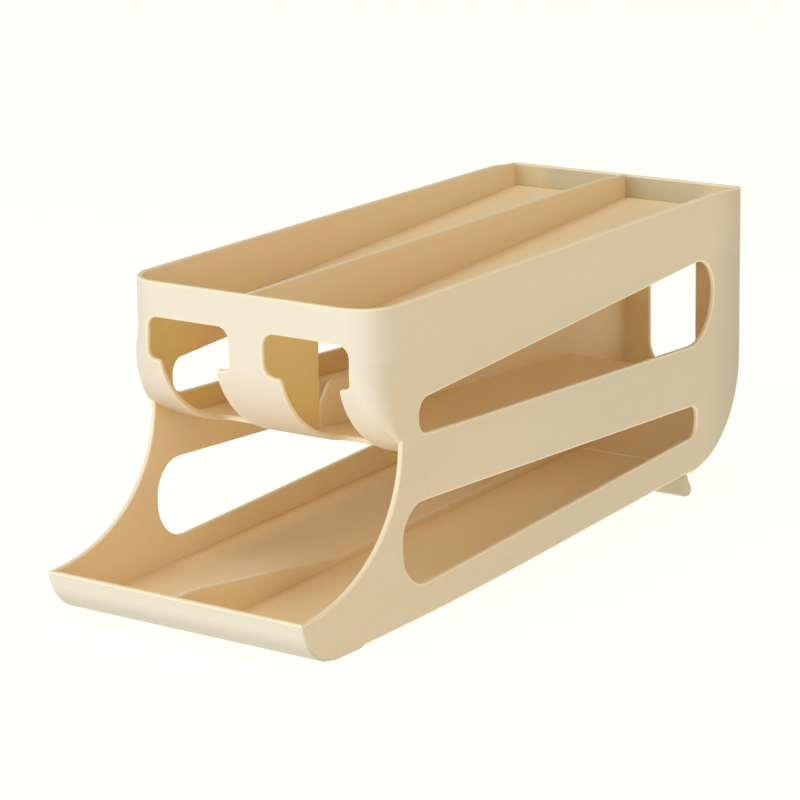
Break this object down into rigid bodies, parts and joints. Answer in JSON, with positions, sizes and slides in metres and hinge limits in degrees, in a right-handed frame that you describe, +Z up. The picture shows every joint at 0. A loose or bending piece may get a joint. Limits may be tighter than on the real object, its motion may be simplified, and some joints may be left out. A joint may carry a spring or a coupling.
{
  "type": "rolling egg dispenser",
  "caption": "Tiered gravity rack that rolls eggs down sloping ramps to a lipped front tray, with slotted side walls, a centre divider and a fold-out stand under the rear.",
  "frame": {"origin": "middle of the footprint, on the surface the rack stands on", "axes": "+X to the rack's right side, +Y from the lipped tray towards the rear wall, +Z up"},
  "size_m": [0.13, 0.3748, 0.1467],
  "materials": {
    "cream_plastic": "satin",
    "pin_steel": "satin"
  },
  "bodies": {
    "rack": {"left_side_wall": "cream_plastic", "right_side_wall": "cream_plastic", "front_wall": "cream_plastic", "rear_wall": "cream_plastic", "top_ramp": "cream_plastic", "middle_ramp": "cream_plastic", "bottom_tray": "cream_plastic", "top_divider": "cream_plastic", "middle_divider": "cream_plastic", "tray_divider": "cream_plastic", "kickstand_pin_left": "pin_steel", "kickstand_pin_right": "pin_steel"},
    "stand": {"kickstand": "cream_plastic"}
  },
  "joints": [
    {"name": "kickstand_fold", "type": "hinge", "parent": "rack", "child": "stand", "pos_m": [0, 0.13515, 0.00914], "axis": [1, 0, 0], "range_deg": [-90, 0]}
  ]
}
